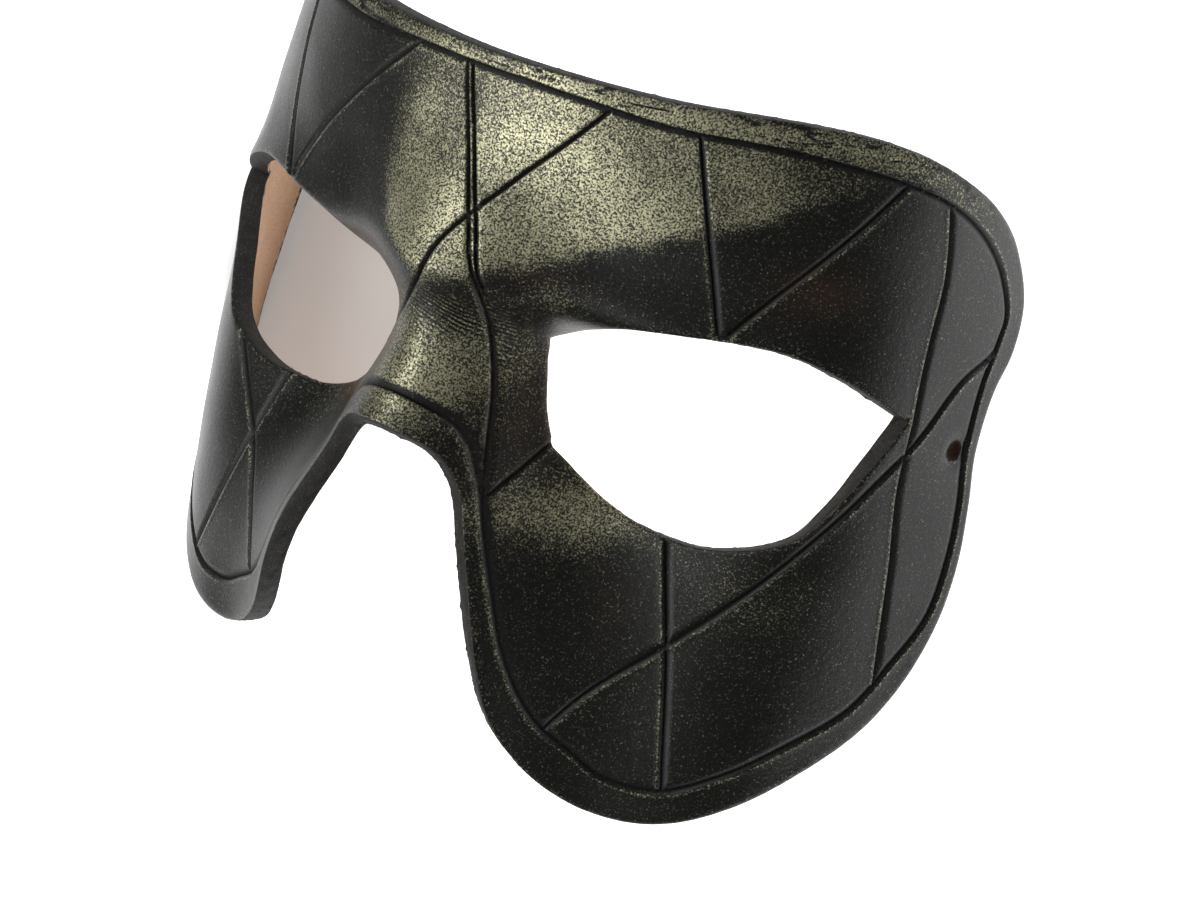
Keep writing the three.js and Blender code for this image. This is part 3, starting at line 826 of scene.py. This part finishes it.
def rubbed(places):
    """How much gold was rubbed on: most from the brow upwards, where the hand stopped at the ridge."""
    across, up, half_width, half_height = BROW_RUB
    x, y = places[:, 0], places[:, 1]
    brow = bell(np.maximum(x - across, 0), half_width) * smoothstep(x, *BROW_RUB_LEFT)
    brow *= bell(y - up, half_height)
    edge = BROW_RUB_EDGE + np.where(x < 0, -BROW_RUB_LEFT_SLOPE, BROW_RUB_SLOPE) * x
    brow *= smoothstep(y - edge + BROW_RUB_RAGGED * rough(places, size=4, seed=61), *BROW_RUB_BLEND)
    brow *= 1 - LEFT_TOP_FADE * smoothstep(y, *LEFT_TOP_REACH) * (x < 0)
    rim = RIM_RUB * bell(edge_gap - RIM_RUB_INSET, RIM_RUB_WIDTH) * smoothstep(y, *RIM_RUB_FROM)
    return np.clip(THIN_RUB + brow + rim + spread(places, RUB_PLACES), 0, 1)


def store(piece, name, values):
    attribute = piece.data.attributes.new(name, "FLOAT", "POINT")
    attribute.data.foreach_set("value", np.asarray(values, np.float32))


def near_tie_hole(places):
    gaps = [np.linalg.norm(places - centre, axis=1) for centre in tie_centres]
    return (np.min(gaps, axis=0) < TIE_HOLE_DIAMETER / 2 + PUNCH_MARGIN).astype(float)


tool_depth, tool_lip, in_rim = line_profile(shell_places)
edge_gap = np.abs(from_edge(shell_places)[0])
kept_rub = 1 - WRINKLE_FADE * spread(shell_places, WRINKLE_PLACES)
creases = CREASE_DARK * creased(shell_places, edge_gap, in_rim)
edge_lip = EDGE_LIP * bell(edge_gap - EDGE_LIP_INSET, EDGE_LIP_WIDTH)
store(mask, "rub", rubbed(shell_places) * kept_rub + WRINKLE_RUB * wrinkles(shell_places))
store(mask, "bare", spread(shell_places, BARE_PLACES))
store(mask, "cut", np.maximum(tool_depth / GROOVE_DEPTH, creases))
store(mask, "lip", np.clip(tool_lip + edge_lip, 0, 1))
store(mask, "margin", bell(edge_gap, MARGIN_WIDTH))
store(mask, "punched", near_tie_hole(shell_places))

# %% [markdown]
# ## The black grain side
#
# Two things make this finish. The dyed grain is nearly black and satin, with pores and fibres a
# third of a millimetre across. The gold is a thin metal powder that sits on top of the grain and
# misses its pits, so it is mixed in grain by grain: where the fine noise is high and the rub is
# strong, the surface turns from dye into metal. The light then does the rest, because metal only
# shines where it faces the lamp.

# %% Helpers for materials
def material(name):
    made = bpy.data.materials.new(name)
    made.use_nodes = True
    tree = made.node_tree
    return made, tree, tree.nodes["Principled BSDF"]


def feed(tree, socket, value):
    """Links another socket to this one, or sets a plain value."""
    if isinstance(value, bpy.types.NodeSocket):
        tree.links.new(value, socket)
    else:
        socket.default_value = value


def fill(tree, node, **settings):
    """Sets a node's own settings and its sockets, by name or by an underscore and a number."""
    for key, value in settings.items():
        if hasattr(node, key):
            setattr(node, key, value)
        else:
            numbered = key[1:].isdigit()
            feed(tree, node.inputs[int(key[1:]) if numbered else key.replace("_", " ")], value)
    return node


def add(tree, kind, **settings):
    return fill(tree, tree.nodes.new(kind), **settings)


def object_place(tree):
    return tree.nodes.new("ShaderNodeTexCoord").outputs["Object"]


def speckle(tree, size, detail=2.0, roughness=0.6):
    """Random noise whose bumps are about as large as a size in metres."""
    return add(
        tree, "ShaderNodeTexNoise", Vector=object_place(tree), Scale=1 / size, Detail=detail,
        Roughness=roughness,
    ).outputs["Fac"]


def stored(tree, name):
    return add(tree, "ShaderNodeAttribute", attribute_name=name).outputs["Fac"]


def math_node(tree, operation, a, b, clamp=False):
    return add(tree, "ShaderNodeMath", operation=operation, use_clamp=clamp, _0=a, _1=b).outputs[0]


def times(tree, a, b, clamp=False):
    return math_node(tree, "MULTIPLY", a, b, clamp)


def ramp(tree, value, low, high, to_low=0.0, to_high=1.0):
    """Carries one range of values over to another, and holds it at both ends."""
    node = add(tree, "ShaderNodeMapRange", _0=value, _1=low, _2=high, _3=to_low, _4=to_high)
    return node.outputs[0]


def blend_colours(tree, share, first, second):
    node = tree.nodes.new("ShaderNodeMix")
    node.data_type = "RGBA"
    sockets = {s.identifier: s for s in node.inputs}
    for key, value in (("Factor_Float", share), ("A_Color", first), ("B_Color", second)):
        feed(tree, sockets[key], value)
    return next(s for s in node.outputs if s.identifier == "Result_Color")


def bump(tree, height, distance, strength, **settings):
    return add(
        tree, "ShaderNodeBump", Height=height, Distance=distance, Strength=strength, **settings
    ).outputs["Normal"]


# %% The black leather with its gold rub
GRAIN_SIZE = 0.34 * MM
PORE_SIZE = 0.9 * MM
PIT_SIZE = 0.32 * MM
CLOUD_SIZE = 13 * MM
DYE = (0.003, 0.003, 0.0026, 1)
DYE_WORN = (0.007, 0.007, 0.0056, 1)
BARE_HIDE = (0.035, 0.016, 0.008, 1)
GOLD = (0.72, 0.7, 0.46, 1)
CLOUD_RANGE = (0.3, 0.62)
CLOUD_RUB = (0.6, 1.12)
LIP_RUB = 0.6
RUB_LEAVES_CUT = (0.05, 0.4)
RUB_LIFT = 0.42
GOLD_RANGE = (0.62, 0.97)
PIT_RANGE = (0.41, 0.57)
PIT_SHOW = (0.08, 1.2)
WORN_RANGE = (0.4, 0.7)
BARE_RANGE = (0.35, 0.6)
METAL_SHARE = 0.9
SHINE = 0.39
SATIN_RANGE = (0.3, 0.7)
SATIN_ROUGHNESS = (0.28, 0.36)
POWDER_ROUGHNESS = 0.05
CUT_ROUGHNESS = 0.4
GRAIN_BUMP = 0.09 * MM
PORE_BUMP = 0.06 * MM


def grain_material():
    made, tree, shader = material("black_dyed_grain")
    grain = speckle(tree, GRAIN_SIZE, 3, 0.75)
    cloud = speckle(tree, CLOUD_SIZE, 4, 0.6)
    pores = add(
        tree, "ShaderNodeTexVoronoi", Vector=object_place(tree), Scale=1 / PORE_SIZE, Randomness=1.0
    ).outputs["Distance"]
    cut = stored(tree, "cut")
    lip = stored(tree, "lip")
    cloudy = ramp(tree, cloud, *CLOUD_RANGE, *CLOUD_RUB)
    rub = times(tree, stored(tree, "rub"), cloudy)
    rub = math_node(tree, "MAXIMUM", rub, times(tree, lip, LIP_RUB))
    rub = times(tree, rub, ramp(tree, cut, *RUB_LEAVES_CUT, 1, 0))
    raised = math_node(tree, "ADD", grain, times(tree, rub, RUB_LIFT))
    pits = ramp(tree, speckle(tree, PIT_SIZE, 1), *PIT_RANGE, *PIT_SHOW)
    gold = times(tree, ramp(tree, raised, *GOLD_RANGE), pits, True)
    worn = blend_colours(tree, ramp(tree, grain, *WORN_RANGE), DYE, DYE_WORN)
    bare = times(tree, stored(tree, "bare"), ramp(tree, cloud, *BARE_RANGE))
    dyed = blend_colours(tree, bare, worn, BARE_HIDE)
    satin = ramp(tree, cloud, *SATIN_RANGE, *SATIN_ROUGHNESS)
    powdered = math_node(tree, "ADD", satin, times(tree, gold, POWDER_ROUGHNESS))
    dulled = math_node(tree, "ADD", powdered, times(tree, cut, CUT_ROUGHNESS))
    fine = bump(tree, grain, GRAIN_BUMP, 0.7)
    fill(
        tree, shader, Base_Color=blend_colours(tree, gold, dyed, GOLD),
        Metallic=times(tree, gold, METAL_SHARE), Specular_IOR_Level=SHINE, Roughness=dulled,
        Normal=bump(tree, pores, PORE_BUMP, 0.4, Normal=fine),
    )
    return made


# %% [markdown]
# ## The cut edge and the flesh side
#
# Dye soaks unevenly into the fibres of a cut edge, so it is a duller black with paler threads, and
# the wall of a punched hole stays reddish tan. The flesh side was never dyed: it is pale tan suede,
# with dark stains where the dye ran over the edge.

# %% The edge and the flesh side
EDGE_BLACK = (0.01, 0.0095, 0.0085, 1)
EDGE_THREAD = (0.085, 0.078, 0.062, 1)
TAN = (0.53, 0.35, 0.22, 1)
TAN_PALE = (0.64, 0.45, 0.32, 1)
TAN_DEEP = (0.38, 0.21, 0.12, 1)
PUNCH_BROWN = (0.07, 0.028, 0.016, 1)
PUNCH_SHARE = 0.85
THREAD_SIZE = 0.28 * MM
THREAD_CLUMP = 1.6 * MM
THREAD_RANGE = (0.5, 0.72)
CLUMP_RANGE = (0.35, 0.65)
THREAD_BUMP = 0.1 * MM
EDGE_ROUGHNESS = 0.72
NAP_SIZE = 0.4 * MM
NAP_RANGE = (0.62, 0.35)
NAP_SHARE = 0.55
NAP_BUMP = 0.12 * MM
FLESH_ROUGHNESS = 0.9
FLESH_CLOUD_SIZE = 16 * MM
STAIN_SIZE = 1.8 * MM
STAIN_NOISE = (0.3, 0.7)
STAIN_RAGGED = 0.3
STAIN_RANGE = (0.7, 1.1)


def edge_material():
    made, tree, shader = material("cut_edge")
    thread = speckle(tree, THREAD_SIZE, 3, 0.7)
    clumps = ramp(tree, speckle(tree, THREAD_CLUMP, 2, 0.5), *CLUMP_RANGE)
    fibre = times(tree, ramp(tree, thread, *THREAD_RANGE), clumps)
    black = blend_colours(tree, fibre, EDGE_BLACK, EDGE_THREAD)
    punched = times(tree, stored(tree, "punched"), PUNCH_SHARE)
    colour = blend_colours(tree, punched, black, PUNCH_BROWN)
    rough_normal = bump(tree, thread, THREAD_BUMP, 0.8)
    fill(tree, shader, Base_Color=colour, Roughness=EDGE_ROUGHNESS, Normal=rough_normal)
    return made


def flesh_material():
    made, tree, shader = material("tan_flesh_side")
    nap = speckle(tree, NAP_SIZE, 4, 0.7)
    cloud = speckle(tree, FLESH_CLOUD_SIZE, 4, 0.6)
    base = blend_colours(tree, ramp(tree, cloud, *CLUMP_RANGE), TAN, TAN_PALE)
    napped = blend_colours(tree, ramp(tree, nap, *NAP_RANGE, 0, NAP_SHARE), base, TAN_DEEP)
    ragged = ramp(tree, speckle(tree, STAIN_SIZE), *STAIN_NOISE, -STAIN_RAGGED, STAIN_RAGGED)
    stained = math_node(tree, "ADD", stored(tree, "margin"), ragged)
    colour = blend_colours(tree, ramp(tree, stained, *STAIN_RANGE), napped, EDGE_BLACK)
    soft_normal = bump(tree, nap, NAP_BUMP, 0.7)
    fill(tree, shader, Base_Color=colour, Roughness=FLESH_ROUGHNESS, Normal=soft_normal)
    return made


black_edge = edge_material()
for finish in (grain_material(), black_edge, flesh_material()):
    mask.data.materials.append(finish)
print("finishes:", [m.name for m in mask.data.materials])

# %% [markdown]
# ## Loose fibres along the cut
#
# Fibres stand out of a knife cut in thick hide, mostly near the flesh side. There are far too many
# to place by hand, so Geometry Nodes scatter points over the wall, and set a short bent strand on
# each one, leaning at random. The tree ends by making the strands real, because instances are lost
# when the model is exported.

# %% The strands as Geometry Nodes
FIBRE_LENGTH = 0.35 * MM
FIBRE_THICKNESS = 0.04 * MM
FIBRE_BEND = 0.35
FIBRE_MIDDLE = 0.6
FIBRE_TIP = 0.3
FIBRE_LEAN = 1
FIBRE_SCALES = (0.35, 1.2)
FIBRES_PER_SQUARE_METRE = 8e5
FIBRE_SEED = 7


def fibre_tree():
    tree = bpy.data.node_groups.new("loose_fibres", "GeometryNodeTree")
    sockets = {
        "Geometry": "Geometry", "Density": "Float", "Length": "Float", "Thickness": "Float",
        "Seed": "Int", "Material": "Material",
    }
    for name, kind in sockets.items():
        tree.interface.new_socket(name, in_out="INPUT", socket_type="NodeSocket" + kind)
    tree.interface.new_socket("Geometry", in_out="OUTPUT", socket_type="NodeSocketGeometry")
    given = tree.nodes.new("NodeGroupInput").outputs
    result = tree.nodes.new("NodeGroupOutput")
    scatter = add(
        tree, "GeometryNodeDistributePointsOnFaces", Mesh=given["Geometry"], Density=given["Density"],
        Seed=given["Seed"],
    )
    aside = times(tree, given["Length"], FIBRE_BEND)
    bend = add(tree, "ShaderNodeCombineXYZ", X=aside, Z=given["Length"])
    half = add(tree, "ShaderNodeCombineXYZ", Z=times(tree, given["Length"], FIBRE_MIDDLE))
    strand = add(
        tree, "GeometryNodeCurveQuadraticBezier", Resolution=3, Start=(0, 0, 0), Middle=half.outputs[0],
        End=bend.outputs[0],
    )
    along = tree.nodes.new("GeometryNodeSplineParameter").outputs["Factor"]
    taper = add(
        tree, "GeometryNodeSetCurveRadius", Curve=strand.outputs[0],
        Radius=ramp(tree, along, 0, 1, 1, FIBRE_TIP),
    )
    section = add(
        tree, "GeometryNodeCurvePrimitiveCircle", Resolution=3,
        Radius=times(tree, given["Thickness"], 0.5),
    )
    thread = add(
        tree, "GeometryNodeCurveToMesh", Curve=taper.outputs[0], Profile_Curve=section.outputs[0],
        Fill_Caps=True,
    )
    upright = add(tree, "FunctionNodeAlignRotationToVector", axis="Z", Vector=scatter.outputs["Normal"])
    lean = add(tree, "FunctionNodeRandomValue", data_type="FLOAT_VECTOR", Seed=given["Seed"])
    lean.inputs[0].default_value = (-FIBRE_LEAN, -FIBRE_LEAN, -math.pi)
    lean.inputs[1].default_value = (FIBRE_LEAN, FIBRE_LEAN, math.pi)
    turned = add(
        tree, "FunctionNodeRotateRotation", rotation_space="LOCAL", Rotation=upright.outputs[0],
        Rotate_By=lean.outputs["Value"],
    )
    size = add(tree, "FunctionNodeRandomValue", data_type="FLOAT", Seed=given["Seed"])
    size.inputs[2].default_value, size.inputs[3].default_value = FIBRE_SCALES
    strands = add(
        tree, "GeometryNodeInstanceOnPoints", Points=scatter.outputs["Points"],
        Instance=thread.outputs[0], Rotation=turned.outputs[0], Scale=size.outputs[1],
    )
    real = add(tree, "GeometryNodeRealizeInstances", Geometry=strands.outputs[0])
    finished = add(tree, "GeometryNodeSetMaterial", Geometry=real.outputs[0], Material=given["Material"])
    tree.links.new(finished.outputs[0], result.inputs[0])
    return tree


def apply_tree(piece, tree, values):
    """Runs the tree on the piece once and keeps the result as a plain mesh."""
    modifier = piece.modifiers.new(tree.name, "NODES")
    modifier.node_group = tree
    for socket in tree.interface.items_tree:
        if socket.name in values and socket.in_out == "INPUT":
            modifier[socket.identifier] = values[socket.name]
    evaluated = piece.evaluated_get(bpy.context.evaluated_depsgraph_get())
    mesh = bpy.data.meshes.new_from_object(evaluated)
    piece.modifiers.clear()
    piece.data = mesh
    return piece


wall_faces = [face for face, finish in zip(shell_faces, shell_finish) if finish == 1]
used = sorted({i for face in wall_faces for i in face})
renumbered = {old: new for new, old in enumerate(used)}
wall_ground = [[renumbered[i] for i in face] for face in wall_faces]
fibres = new_mesh("edge_fibres", laid[used], wall_ground)
fibre_inputs = {
    "Density": FIBRES_PER_SQUARE_METRE,
    "Length": FIBRE_LENGTH,
    "Thickness": FIBRE_THICKNESS,
    "Seed": FIBRE_SEED,
    "Material": black_edge,
}
apply_tree(fibres, fibre_tree(), fibre_inputs)
for vertex in fibres.data.vertices:
    vertex.co.z = max(vertex.co.z, 0)
print("fibre faces:", len(fibres.data.polygons))

# %% [markdown]
# ## Handing the pieces to the frame
#
# Nothing on the mask moves by itself, so both pieces ride on the one body. The fine shell stands in
# for the faceted solid.

# %% Ride and replace
for piece in (mask, fibres):
    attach(piece, "root")
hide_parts("leather_mask")

# %% [markdown]
# ## Table, light and camera
#
# The table is plain, and its glow is painted light: it gives off its own white light in a pool round
# the mask, so the mask throws hardly any shadow. Under the left eye hole it glows less, which is a
# painted shade: a soft grey shows through the hole. Two soft lamps hang on the left. The wide one in
# front makes the gold glow on the forehead and the nose, and leaves the cheeks dark, and the small
# one behind lights the forehead's top. The room round them is dim, and a little brighter overhead.
# The camera looks down on the lying mask from the right, with a long lens, from where the outline
# and the eye holes line up as they should.

# %% The table
TABLE_REACH = 3.0
TABLE_TINTS = (0.48, 0.48, 0.48, 1), (0.5, 0.5, 0.5, 1)
TABLE_CLOUD_SIZE = 0.25
TABLE_ROUGHNESS = 0.85
# Painted light: the table glows in a pool round the mask, so the mask's shadow nearly vanishes.
PAINTED_POOL_GLOW = 1.35
# Painted shade: the glow drops under the left eye hole, to stand in for the mask's shadow there.
PAINTED_SHADE_GLOW = 0.25
PAINTED_SHADE_PLACE = (-0.054, 0.003, 0)
PAINTED_SHADE_REACH = (0.019, 0.028)
PAINTED_POOL_PLACE = (0.045, 0, 0)
PAINTED_POOL_REACH = (0.15, 0.21)
BEYOND_PAINTED_POOL = 0.1


def distance_from(tree, place):
    """The distance of each place on a piece from one fixed place."""
    return add(
        tree, "ShaderNodeVectorMath", operation="DISTANCE", _0=object_place(tree), _1=place
    ).outputs["Value"]


def floor():
    signs = ((-1, -1), (1, -1), (1, 1), (-1, 1))
    corners = [(x * TABLE_REACH, y * TABLE_REACH, 0) for x, y in signs]
    made = new_mesh("table_top", corners, [[0, 1, 2, 3]], False)
    paint, tree, shader = material("table_with_painted_light")
    tint = blend_colours(tree, speckle(tree, TABLE_CLOUD_SIZE, 2), *TABLE_TINTS)
    # Painted shade and painted light: the glow dips under the left eye hole and fades beyond a pool
    # round the mask.
    glow_with_painted_shade = ramp(tree, distance_from(tree, PAINTED_SHADE_PLACE), *PAINTED_SHADE_REACH, PAINTED_SHADE_GLOW, PAINTED_POOL_GLOW)
    painted_pool = ramp(tree, distance_from(tree, PAINTED_POOL_PLACE), *PAINTED_POOL_REACH, 1, BEYOND_PAINTED_POOL)
    fill(
        tree, shader, Base_Color=tint, Roughness=TABLE_ROUGHNESS, Emission_Color=(1, 1, 1, 1),
        Emission_Strength=times(tree, glow_with_painted_shade, painted_pool),
    )
    made.data.materials.append(paint)


# %% The lamps
WALL_GLOW = 0.08
CEILING_GLOW = 0.26
CEILING_FROM = (0.3, 0.8)


def lamp(name, place, side, power):
    """A square soft lamp that faces the mask."""
    light = bpy.data.lights.new(name, "AREA")
    light.shape = "RECTANGLE"
    light.size = light.size_y = side
    light.energy = power
    made = bpy.data.objects.new(name, light)
    bpy.context.scene.collection.objects.link(made)
    made.location = place
    made.rotation_euler = (-Vector(place)).to_track_quat("-Z", "Y").to_euler()


def surroundings():
    """A soft room: its walls give less light than its ceiling."""
    world = bpy.data.worlds.new("soft_room")
    world.use_nodes = True
    tree = world.node_tree
    upward = add(tree, "ShaderNodeSeparateXYZ", Vector=object_place(tree)).outputs["Z"]
    glow = ramp(tree, upward, *CEILING_FROM, WALL_GLOW, CEILING_GLOW)
    fill(tree, tree.nodes["Background"], Color=(1, 1, 1, 1), Strength=glow)
    bpy.context.scene.world = world


floor()
lamp("soft_front", place=(-0.37, -0.5, 0.78), side=0.9, power=5.8)
lamp("soft_top", place=(-0.3, 0.33, 0.85), side=0.4, power=1.9)
surroundings()
bpy.context.scene.view_settings.view_transform = "Standard"

# %% The camera
VIEW_YAW = 0.6
VIEW_ELEVATION = 0.413
VIEW_ROLL = 0.125
VIEW_DISTANCE = 757 * MM
PIXELS_PER_MM = 6.58
PHOTO_SIZE = (1200, 900)
FACE_ORIGIN_PIXEL = (434.2, 390.4)
SENSOR_WIDTH = 36


def camera():
    """The camera, from its bearing round the upright face, turned as the mask was laid down."""
    flat = math.cos(VIEW_ELEVATION)
    back = Vector((math.sin(VIEW_YAW) * flat, math.sin(VIEW_ELEVATION), math.cos(VIEW_YAW) * flat))
    level = Vector((math.cos(VIEW_YAW), 0, -math.sin(VIEW_YAW)))
    upright = back.cross(level)
    right = level * math.cos(VIEW_ROLL) + upright * math.sin(VIEW_ROLL)
    up = upright * math.cos(VIEW_ROLL) - level * math.sin(VIEW_ROLL)
    focal_pixels = PIXELS_PER_MM * VIEW_DISTANCE / MM
    aside = PHOTO_SIZE[0] / 2 - FACE_ORIGIN_PIXEL[0]
    below = PHOTO_SIZE[1] / 2 - FACE_ORIGIN_PIXEL[1]
    axis = (right * aside - up * below - back * focal_pixels).normalized()
    right = (right - axis * right.dot(axis)).normalized()
    up = right.cross(axis)
    turned = REST_TURN.to_matrix() @ Matrix((right, up, -axis)).transposed()
    data = bpy.data.cameras.new("camera")
    data.sensor_width = SENSOR_WIDTH
    data.lens = focal_pixels / PHOTO_SIZE[0] * SENSOR_WIDTH
    made = bpy.data.objects.new("camera", data)
    bpy.context.scene.collection.objects.link(made)
    place = Vector(face_origin) + REST_TURN.to_matrix() @ (back * VIEW_DISTANCE)
    made.matrix_world = Matrix.Translation(place) @ turned.to_4x4()
    bpy.context.scene.camera = made
    print("lens:", round(data.lens, 1), "mm, height of the camera:", round(place.z, 3), "m")


camera()
